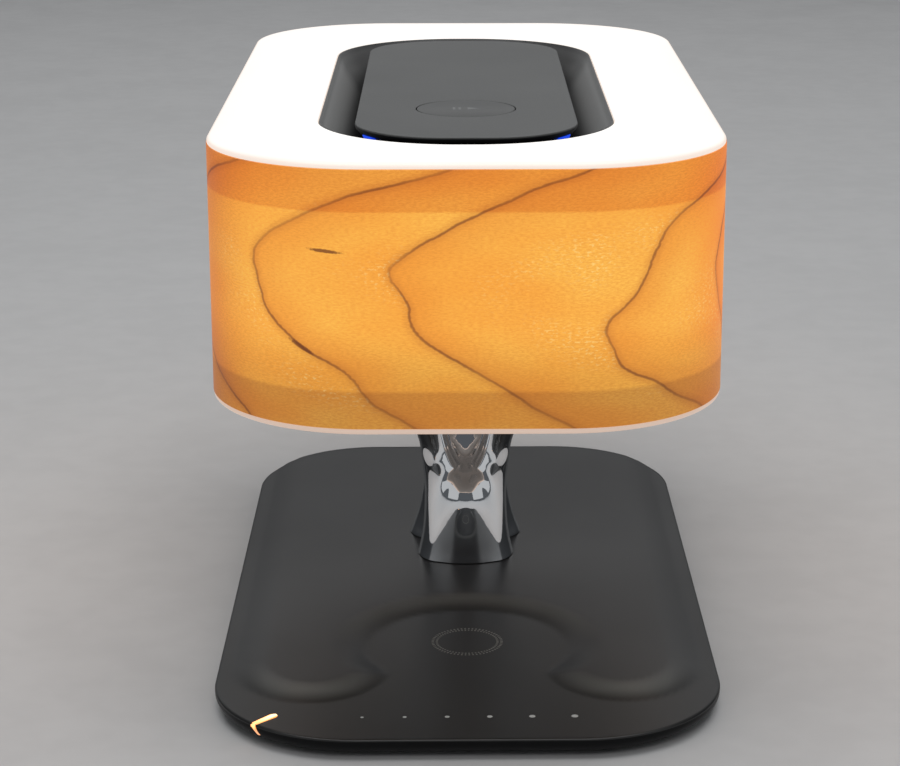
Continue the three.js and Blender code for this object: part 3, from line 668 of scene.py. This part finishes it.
def charging_mark():
    """Two printed rings of short radial dashes in the middle of the bay."""
    vertices, faces = [], []
    dash_count, dash_width, lift, thickness = 58, 0.56 * MM, 0.03 * MM, 0.02 * MM
    for inner, outer in ((12.15 * MM, 13.1 * MM), (10.75 * MM, 11.55 * MM)):
        for index in range(dash_count):
            a = 2 * math.pi * index / dash_count
            along = np.array([math.cos(a), math.sin(a)])
            across = np.array([-math.sin(a), math.cos(a)]) * dash_width / 2
            corners = []
            for radius, side in ((inner, -1), (outer, -1), (outer, 1), (inner, 1)):
                x, y = along * radius + across * side
                corners.append((x, MARK_Y + y))
            add_prism(vertices, faces, corners, FRONT_Z - thickness, FRONT_Z + lift)
    ink = plain("printed_grey", (0.24, 0.24, 0.22), (0.34, 0.335, 0.31), 0.5)
    mark = make_mesh("charging_mark", vertices, faces, ink)
    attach(mark, BODY)


def dimmer_lights():
    """Six touch dots, larger from left to right, as low lenses in the front strip."""
    lens = plain("touch_dot", (0.34, 0.34, 0.33), (0.5, 0.5, 0.48), 0.4, Emission_Color=(0.6, 0.62, 0.6, 1),
                 Emission_Strength=0.12)
    for index in range(6):
        name = f"dimmer_light_{index + 1}"
        low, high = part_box(name)
        radius = (high.x - low.x) / 2
        centre = middle(low, high)
        top = high.z + 0.05 * MM
        profile = [(0, low.z), (radius, low.z), (radius, top - 0.12 * MM)]
        profile += [(radius * math.cos(a), top - 0.12 * MM * (1 - math.sin(a))) for a in (0.4, 0.8, 1.2)]
        dot = turned(f"touch_dot_{index + 1}", centre, profile + [(0, top)], lens, 28)
        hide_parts(name)
        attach(dot, BODY)


# The light's place: its direction from the corner's centre, where it starts, and its half-width.
CHARGE_LIGHT_ANGLE = math.radians(-133)
CHARGE_LIGHT_START = 39.8 * MM
CHARGE_LIGHT_HALF = 1.65 * MM
# Its fold over the edge and down the side, in millimetres: inset, height, and drift towards the middle.
CHARGE_LIGHT_FOLD = [(0.0, 7.2, 0.0), (0.02, 6.6, 0.5), (0.1, 5.9, 1.1), (0.25, 5.2, 1.7), (0.5, 4.6, 2.3)]


def charge_light():
    """Amber light guide: a round-ended bar on the corner that folds over the edge and down the side."""
    corner = np.array([BASE_CORNER - BASE.half_x, BASE_CORNER - BASE.half_y])
    outward = np.array([math.cos(CHARGE_LIGHT_ANGLE), math.sin(CHARGE_LIGHT_ANGLE)])
    across = np.array([-outward[1], outward[0]])
    half = CHARGE_LIGHT_HALF
    bar_start = CHARGE_LIGHT_START + half
    end_steps, bar_steps = 8, 12
    route = []
    for step in range(end_steps + 1):
        turned_by = math.pi / 2 * step / end_steps
        blunt = math.sin(max(turned_by, math.pi / 2 * 0.6 / end_steps))
        route.append((bar_start - half * math.cos(turned_by), None, half * blunt, 0.0))
    for step in range(1, bar_steps + 1):
        share = step / bar_steps
        route.append((bar_start + (BASE_CORNER - bar_start) * share, None, half * (1 - 0.3 * share), 0.0))
    for inset, z, drift in CHARGE_LIGHT_FOLD:
        route.append((BASE_CORNER - inset * MM, z * MM, half * (0.72 - 0.14 * drift), drift * MM))
    vertices = []
    for depth in (0.22 * MM, -0.7 * MM):
        for radius, z, width, drift in route:
            for side in (-1, -0.5, 0, 0.5, 1):
                crown = depth if abs(side) < 1 or depth < 0 else 0.02 * MM
                flat = corner + outward * radius + across * (side * width + drift)
                if z is None:
                    vertices.append((*flat, float(surface_z(flat[0], flat[1])) + crown))
                else:
                    vertices.append((*(flat + outward * crown), z))
    rows, columns = len(route), 5
    layer = rows * columns
    faces = []
    for row in range(rows - 1):
        for column in range(columns - 1):
            a = row * columns + column
            faces.append((a, a + 1, a + columns + 1, a + columns))
            faces.append((layer + a, layer + a + columns, layer + a + columns + 1, layer + a + 1))
    border = list(range(columns))
    border += [r * columns + columns - 1 for r in range(1, rows)]
    border += [(rows - 1) * columns + c for c in range(columns - 2, -1, -1)]
    border += [r * columns for r in range(rows - 2, 0, -1)]
    for i, a in enumerate(border):
        b = border[(i + 1) % len(border)]
        faces.append((b, a, layer + a, layer + b))
    guide = make_mesh("charge_light", vertices, faces, amber_light(corner, outward), 60)
    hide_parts("charge_light_guide")
    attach(guide, BODY)


# -------- trunk
# Stations of each limb: height, centre x and y, half-width along x and y, in millimetres.
REAR_LIMB = [(2, 0, 42.4, 23.4, 15.4), (10.5, 0, 42, 22, 14.5), (14, 0, 41.6, 20.6, 13.8),
             (24, 0, 40, 17.8, 13), (38, 0, 38, 15.9, 12.4), (47, 0, 38, 15.2, 11.6),
             (56, 0, 39, 13.6, 10.4), (75, 0, 41.5, 11.6, 10), (95, 0, 45.5, 10.4, 9.8),
             (110, 0, 48, 10, 9.5), (126, 0, 48, 10, 9.5)]
FRONT_LIMB = [(2, 0, 11.4, 15.4, 8.7), (10.5, 0, 11, 14.4, 8.5), (14, 0, 10.9, 13.6, 8.3),
              (22, 0, 10.8, 12.2, 8.3), (36, 0, 11.4, 9.6, 8.4), (42, 0, 13.4, 8.2, 8.2),
              (46.5, 0, 18, 6, 7.4)]
SIDE_BRANCH = [(2, 11.4, 16.6, 10, 12.8), (10.5, 9, 17, 9.3, 12.3), (22, 7.6, 18, 8.6, 12.3),
               (36, 7.2, 20, 8.4, 12), (44, 8.5, 20.5, 7.7, 11), (50, 10.5, 20, 6.5, 10.2),
               (57, 12.3, 19.5, 5.5, 9.6), (70, 15.8, 15, 6.4, 8.8), (86, 19.6, 7, 7.2, 8),
               (100, 22.6, -1, 8, 8), (111, 24, -8, 8.5, 8.5), (126, 24, -8, 8.5, 8.5)]
SWELL = 0.8  # added to every half-width, to make up for what the smoothing takes away


def along_stations(stations, steps):
    """Catmull-Rom interpolation of a list of stations."""
    table = np.array(stations, float)
    table = np.vstack([2 * table[0] - table[1], table, 2 * table[-1] - table[-2]])
    rows = []
    for span in range(1, len(table) - 2):
        a, b, c, d = table[span - 1:span + 3]
        for step in range(steps):
            t = step / steps
            rows.append(0.5 * (2 * b + (c - a) * t + (2 * a - 5 * b + 4 * c - d) * t * t
                               + (3 * b - a - 3 * c + d) * t ** 3))
    rows.append(table[-2])
    return rows


def limb_mesh(bm, stations, mirror=1, sides=48):
    """Adds one limb, a skin over level ellipses, to a mesh under construction."""
    rings = []
    for z, x, y, half_x, half_y in along_stations(stations, 6):
        ring = []
        for step in range(sides):
            a = 2 * math.pi * step / sides
            ring.append(bm.verts.new(((x * mirror + (half_x + SWELL) * math.cos(a)) * MM,
                                      (y + (half_y + SWELL) * math.sin(a)) * MM, z * MM)))
        rings.append(ring)
    skin_rings(bm, rings)
    bm.faces.new(list(reversed(rings[0])))
    bm.faces.new(rings[-1])


def trunk():
    """The limbs grown together: remeshed as one skin, smoothed, and cut off square at both ends."""
    bm = bmesh.new()
    limb_mesh(bm, REAR_LIMB)
    limb_mesh(bm, FRONT_LIMB)
    limb_mesh(bm, SIDE_BRANCH, 1)
    limb_mesh(bm, SIDE_BRANCH, -1)
    mesh = bpy.data.meshes.new("trunk_skin")
    bm.to_mesh(mesh)
    bm.free()
    skin = bpy.data.objects.new("trunk_skin", mesh)
    bpy.context.scene.collection.objects.link(skin)
    voxels = skin.modifiers.new("grow", "REMESH")
    voxels.mode = "VOXEL"
    voxels.voxel_size = 0.7 * MM
    soften = skin.modifiers.new("soften", "SMOOTH")
    soften.factor = 0.5
    soften.iterations = 60
    apply_modifiers(skin)
    bm = bmesh.new()
    bm.from_mesh(skin.data)
    for level, direction in ((trunk_low.z, -1), (trunk_high.z, 1)):
        cut = bmesh.ops.bisect_plane(bm, geom=bm.verts[:] + bm.edges[:] + bm.faces[:], plane_co=(0, 0, level),
                                     plane_no=(0, 0, direction), clear_outer=True)
        edges = [e for e in cut["geom_cut"] if isinstance(e, bmesh.types.BMEdge)]
        bmesh.ops.holes_fill(bm, edges=edges, sides=0)
    bm.to_mesh(skin.data)
    bm.free()
    skin.data.shade_smooth()
    skin.data.set_sharp_from_angle(angle=math.radians(50))
    skin.data.materials.clear()
    skin.data.materials.append(CHROME)
    skin.name = "chrome_trunk"
    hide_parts("trunk")
    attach(skin, BODY)


# -------- shade
# Growth lines across the front, as (distance round from the front's middle, height) from top to bottom.
FRONT_LINES = [
    [(-64, 203), (-88, 199), (-107, 191), (-122, 180), (-128, 167), (-123, 150), (-108, 133), (-97, 128),
     (-86, 123), (-72, 116)],
    [(2, 203), (-8, 200), (-25, 196), (-40, 192.5), (-54, 185.5), (-66, 179), (-71, 174.5), (-71.5, 169),
     (-69.5, 162), (-68, 156), (-58, 146.5), (-50, 141.5), (-40, 137), (-35.5, 133.5), (-33.5, 128.5),
     (-29, 124), (-14, 116.5)],
    [(47, 203), (38, 200.5), (23, 196.5), (15, 192.5), (3, 187), (-13, 178.5), (-23, 172.5), (-26, 169),
     (-24, 165), (-19.5, 160), (-18, 156), (-18.5, 151), (-15, 147), (-8, 142), (3, 135.5), (15, 128.5),
     (20, 124), (37, 116.5)],
    [(118, 203), (109, 196), (91, 191), (73, 185.5), (65.5, 181), (59, 168.5), (56, 163), (51, 157),
     (45, 153), (43.5, 149.5), (46, 144.5), (49, 136), (54, 133.5), (63, 130.5), (70, 124.5),
     (89, 116.5)],
    [(150, 203), (124, 190), (101, 176), (93.5, 164), (95, 158), (100, 148), (112, 134), (134, 116.5)],
]


def growth_lines(rows, half_round):
    """Every line as its distance round at each height: the front ones above, and the others made to match."""
    def smooth(values):
        padded = np.pad(values, 2, mode="edge")
        return np.convolve(padded, np.array([1, 3, 4, 3, 1]) / 12, mode="valid")

    lines = []
    for points in FRONT_LINES:
        heights = np.array([z for _, z in reversed(points)])
        around = np.array([s for s, _ in reversed(points)])
        lines.append(smooth(np.interp(rows, heights, around)))
    draw = np.random.default_rng(SEED)

    def made(tip, height):
        up, down, bluntness = draw.uniform(0.8, 1.9), draw.uniform(1.0, 1.7), draw.uniform(5, 11)
        slope = np.where(rows > height, up, down)
        wander = draw.uniform(1.5, 3.5) * np.sin((rows - 116) / draw.uniform(5, 9) + draw.uniform(0, 6))
        return tip + slope * (np.sqrt((rows - height) ** 2 + bluntness ** 2) - bluntness) + wander

    least_gap = 9
    for tip, way, beyond in ((160, 1, 90), (-190, -1, 130)):
        while tip * way < half_round + beyond:
            line = made(tip, draw.uniform(143, 178))
            lines.append(way * np.maximum(way * line, way * lines[-1] + least_gap))
            tip += way * draw.uniform(48, 74)
        lines.reverse()
    return np.array(lines)


def veneer_band():
    """The wooden sleeve, with its distance round and its place between growth lines kept as two UV layers."""
    outer_rows, skin, eased = 58, 0.9 * MM, 0.1 * MM
    profile = [(0.0, z) for z in np.linspace(shade_low.z + eased, shade_high.z - eased, outer_rows)]
    profile += [(eased, shade_high.z), (skin, shade_high.z), (skin, shade_low.z), (eased, shade_low.z)]
    band = sweep("veneer_sleeve", SHADE, profile, veneer())
    flat = SHADE.points()
    count = len(flat)
    steps = np.hypot(*(np.roll(flat, -1, axis=0) - flat).T)
    travelled = np.concatenate([[0], np.cumsum(steps)])
    around = travelled - travelled[-1] / 2
    rows = np.array([z for _, z in profile]) / MM
    table = growth_lines(rows, travelled[-1] / 2 / MM)
    order = np.arange(len(table))
    field = np.array([np.interp(around / MM, crossings, order) for crossings in table.T])
    d_row = np.gradient(field[:outer_rows], rows[:outer_rows], axis=0)
    d_around = np.gradient(field[:outer_rows], around / MM, axis=1)
    span = np.ones_like(field) * 30
    span[:outer_rows] = 1 / np.maximum(np.hypot(d_row, d_around), 0.004)
    surface, growth = band.data.uv_layers.new(name="veneer"), band.data.uv_layers.new(name="growth")
    for polygon in band.data.polygons:
        columns = [band.data.loops[i].vertex_index % count for i in polygon.loop_indices]
        wraps = max(columns) - min(columns) > 1
        for loop_index, column in zip(polygon.loop_indices, columns):
            row = band.data.loops[loop_index].vertex_index // count
            place = count if wraps and column == 0 else column
            surface.data[loop_index].uv = (around[place], rows[row] * MM)
            growth.data[loop_index].uv = (field[row, place], span[row, place] * MM)
    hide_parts("veneer_band")
    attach(band, BODY)


def shell_between(name, outer, inner, material, sharp_degrees=35):
    """A closed piece with a hole through it: outer and inner are rings, joined at both ends."""
    bm = bmesh.new()
    ends = []
    for rings in (outer, inner):
        made = [[bm.verts.new(p) for p in ring] for ring in rings]
        skin_rings(bm, made)
        ends.append((made[0], made[-1]))
    bm.edges.index_update()
    for level in (0, 1):
        edges = []
        for loops in ends:
            ring = loops[level]
            edges += [bm.edges.get((ring[i], ring[(i + 1) % len(ring)])) for i in range(len(ring))]
        bmesh.ops.triangle_fill(bm, use_beauty=True, edges=edges)
    bmesh.ops.recalc_face_normals(bm, faces=bm.faces)
    mesh = bpy.data.meshes.new(name)
    bm.to_mesh(mesh)
    bm.free()
    return add_object(name, mesh, material, sharp_degrees)


def diffusers():
    """Opal rims over and under the veneer: the upper one open round the recess, the lower one solid."""
    top, bottom = upper_high.z, lower_low.z
    skin, set_back = 1.9 * MM, 0.1 * MM
    outer = [ring_at(RIM, set_back, top - skin)]
    for step in range(9):
        a = math.pi / 2 * step / 8
        inset = set_back + 2.6 * MM * (1 - math.cos(a))
        outer.append(ring_at(RIM, inset, top - 1.35 * MM * (1 - math.sin(a))))
    inner = [ring_at(RECESS, -0.3 * MM, top - skin), ring_at(RECESS, -0.3 * MM, top - 0.3 * MM),
             ring_at(RECESS, -0.6 * MM, top)]
    top_glow = opal("opal_top", RIM, top, (0.92, 0.90, 0.87), (0.86, 0.80, 0.755), (0.79, 0.68, 0.60))
    upper = shell_between("upper_rim", outer, inner, top_glow)
    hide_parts("upper_diffuser")
    profile = [(3.0 * MM, bottom)]
    for step in range(1, 7):
        a = math.pi / 2 * step / 6
        profile.append((set_back + 1.6 * MM * (1 - math.sin(a)), bottom + 1.1 * MM * (1 - math.cos(a))))
    profile.append((set_back, bottom + skin))
    low_glow = opal("opal_bottom", RIM, bottom, (0.07, 0.058, 0.05), (0.55, 0.40, 0.31), (0.52, 0.375, 0.295))
    lower = sweep("lower_rim", RIM, profile, low_glow, closed=False)
    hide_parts("lower_diffuser")
    for piece in (upper, lower):
        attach(piece, BODY)


# -------- speaker pod
def speaker_tray():
    """Dished tray round the plate, with a thin rolled lip at its mouth and a round hole over the speaker."""
    top, floor, skin = tray_high.z, tray_low.z + 1.5 * MM, 1.5 * MM
    slope = 14 * MM
    driver_low, driver_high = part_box("speaker_basket")
    centre = middle(driver_low, driver_high)
    hole = (driver_high.x - driver_low.x) / 2 - 3 * MM
    inside = [(slope + 1.8 * MM, floor)]
    for step in range(7):
        share = step / 6
        inset = slope * (1 - 0.12 - 0.76 * share) + 1.6 * MM - 0.2 * MM * share
        inside.append((inset, floor + (1.6 + 17 * share) * MM))
    inside += [(1.5 * MM, top - 0.9 * MM), (0.9 * MM, top - 0.15 * MM), (0.6 * MM, top)]
    outside = [(0.2 * MM, top - 0.1 * MM), (0.0, top - 0.5 * MM), (slope * 0.88, floor + 0.6 * MM),
               (slope, floor - skin)]
    walls = [ring_at(RECESS, inset, z) for inset, z in inside + outside]
    bore = [circle_at(centre, hole, floor), circle_at(centre, hole, floor - skin)]
    tray = shell_between("speaker_tray", walls, bore, TRAY_BLACK, 50)
    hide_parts("recess_tray")
    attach(tray, BODY)


def top_plate():
    """Satin plate over the speaker, undercut below its thin edge, with a shelf under the button."""
    top, thickness = plate_high.z, 4.4 * MM
    bottom = top - thickness
    edge = [(3.2 * MM, bottom), (1.4 * MM, bottom + 1.4 * MM), (0.35 * MM, bottom + 2.6 * MM),
            (0.0, bottom + 3.2 * MM), (0.0, top - 0.45 * MM), (0.06 * MM, top - 0.15 * MM), (0.25 * MM, top)]
    outer = [ring_at(PLATE, inset, z) for inset, z in edge]
    centre = middle(button_low, button_high)
    radius = (button_high.x - button_low.x) / 2
    hole, ledge, seat = radius + 0.35 * MM, radius - 3 * MM, bottom + 0.7 * MM
    bore = [(ledge, bottom), (ledge, seat), (hole, seat), (hole, top - 0.12 * MM), (hole + 0.12 * MM, top)]
    inner = [circle_at(centre, reach, z) for reach, z in bore]
    plate = shell_between("speaker_plate", outer, inner, GRAPHITE)
    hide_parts("speaker_top_plate")
    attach(plate, BODY)
    return centre, radius, top


def play_button(centre, radius, top):
    """Round push button flush with the plate, with an eased edge and a stem down to its switch."""
    stem, under = 3 * MM, top - 2.7 * MM
    profile = [(0, button_low.z), (stem, button_low.z), (stem, under), (radius - 0.4 * MM, under),
               (radius, under + 0.4 * MM), (radius, top - 0.22 * MM), (radius - 0.08 * MM, top - 0.07 * MM),
               (radius - 0.25 * MM, top), (0, top)]
    button = turned("push_button", centre, profile, GRAPHITE, 96)
    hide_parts("play_button")
    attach(button, "play_button")


def blue_guides():
    """Short curved light guides that follow the plate's front corners under its undercut edge."""
    lens = glowing("blue_guide", (0.01, 0.07, 0.8), 0.9, (0.003, 0.03, 0.5))
    underside = plate_high.z - 4.1 * MM
    first_angle, arc_angle, steps = -24, 15, 12
    section = [(3.0, 0), (1.2, 0), (0.4, 1.5), (0.5, 1.9), (1.6, 1.4)]  # inset and height in millimetres
    sides = len(section)
    for side, name in ((-1, "left"), (1, "right")):
        centre_y = PLATE.centre_y - PLATE.half_y + PLATE_CORNER
        centre = np.array([side * (PLATE.half_x - PLATE_CORNER), centre_y])
        vertices, faces = [], []
        for step in range(steps + 1):
            a = math.radians(first_angle - arc_angle * step / steps)
            outward = np.array([side * math.cos(a), math.sin(a)])
            for inset, z in section:
                vertices.append((*(centre + outward * (PLATE.corner - inset * MM)), underside + z * MM))
        for step in range(steps):
            for k in range(sides):
                i, j = step * sides + k, step * sides + (k + 1) % sides
                faces.append((i, i + sides, j + sides, j) if side > 0 else (i, j, j + sides, i + sides))
        first, last = tuple(range(sides)), tuple(range(steps * sides, (steps + 1) * sides))
        faces += [first, tuple(reversed(last))] if side > 0 else [tuple(reversed(first)), last]
        guide = make_mesh(f"blue_guide_{side + 1}", vertices, faces, lens)
        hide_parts(f"blue_light_guide_{name}")
        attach(guide, BODY)


def play_mark(centre, top):
    """Faint printed pause and play signs on the button: two bars and a triangle, lying flat."""
    half_print, half_height, bar_width = 0.02 * MM, 2.2, 0.9
    shapes = []
    for left in (-4.6, -2.6):
        bar = ((0, -half_height), (bar_width, -half_height), (bar_width, half_height), (0, half_height))
        shapes.append([(left + x, y) for x, y in bar])
    shapes.append([(0.6, -2.3), (4.4, 0.0), (0.6, 2.3)])
    vertices, faces = [], []
    for shape in shapes:
        corners = [(centre[0] + a * MM, centre[1] + b * MM) for a, b in shape]
        add_prism(vertices, faces, corners, top - half_print, top + half_print)
    ink = plain("faint_print", (0.19, 0.195, 0.195), (0.23, 0.235, 0.235), 0.5)
    mark = make_mesh("play_mark", vertices, faces, ink)
    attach(mark, "play_button")


# -------- CAD nodes that stay as they are
def dress_frame():
    """Gives the CAD pieces that are kept the same materials as the rest."""
    slots = {entry["node"]: entry["material_slot"] for entry in frame["record"]["subparts"]}
    for name, node in frame["nodes"].items():
        material = FRAME_MATERIALS.get(slots[name])
        if material is not None:
            node.data.materials.clear()
            node.data.materials.append(material)


# -------- stage, light and camera
def stage():
    """A pale floor in a dim room, under five soft lights."""
    bpy.ops.mesh.primitive_plane_add(size=14, location=(0, 3, 0))
    floor = bpy.context.object
    floor.name = "floor"
    pale = plain("pale_floor", (0.60, 0.60, 0.60), (0.63, 0.63, 0.63), 0.75, speckle=60.0)
    floor.data.materials.append(pale)
    world = bpy.data.worlds.new("studio")
    world.use_nodes = True
    background = world.node_tree.nodes["Background"].inputs
    background["Color"].default_value = (0.80, 0.85, 0.92, 1)
    background["Strength"].default_value = 0.11
    bpy.context.scene.world = world
    softbox("overhead", (0, -0.1, 2.4), (0, 0, 0), (2.6, 2.0), 34)
    softbox("front", (0.1, -1.8, 1.7), (0, 0, 0.1), (1.0, 0.7), 7)
    softbox("left", (-1.35, -0.95, 0.72), (0, 0, 0.1), (1.6, 1.3), 2.6)
    softbox("right", (1.35, -0.95, 0.72), (0, 0, 0.1), (1.6, 1.3), 2.6)
    softbox("back", (0, 2.1, 1.02), (0, 0, 0.05), (3.2, 0.75), 4.6)


def softbox(name, place, target, size, power):
    """A rectangular light at a place, facing a target."""
    data = bpy.data.lights.new(name, "AREA")
    data.shape = "RECTANGLE"
    data.size, data.size_y = size
    data.energy = power
    light = bpy.data.objects.new(name, data)
    light.location = place
    light.rotation_euler = (Vector(place) - Vector(target)).to_track_quat("Z", "Y").to_euler()
    bpy.context.scene.collection.objects.link(light)


def camera():
    """Front view from a little above, with a long lens and the object off centre in the frame."""
    turn, tilt, roll = -0.0182, 0.2771, 0.0013
    data = bpy.data.cameras.new("camera")
    data.lens = 96.92
    data.sensor_width = 36
    data.shift_x, data.shift_y = -0.05, -0.0116
    data.clip_start, data.clip_end = 0.05, 40
    view = bpy.data.objects.new("camera", data)
    aim = Matrix.Rotation(turn, 4, "Z") @ Matrix.Rotation(math.pi / 2 - tilt, 4, "X")
    place = Matrix.Translation((-0.005, -0.9025, 0.3465))
    view.matrix_world = place @ aim @ Matrix.Rotation(roll, 4, "Z")
    bpy.context.scene.collection.objects.link(view)
    bpy.context.scene.camera = view
    bpy.context.scene.view_settings.view_transform = "Standard"


camera()
stage()
dress_frame()
base_shell()
charging_mark()
dimmer_lights()
charge_light()
trunk()
veneer_band()
diffusers()
speaker_tray()
button_place = top_plate()
play_button(*button_place)
play_mark(button_place[0], button_place[2])
blue_guides()
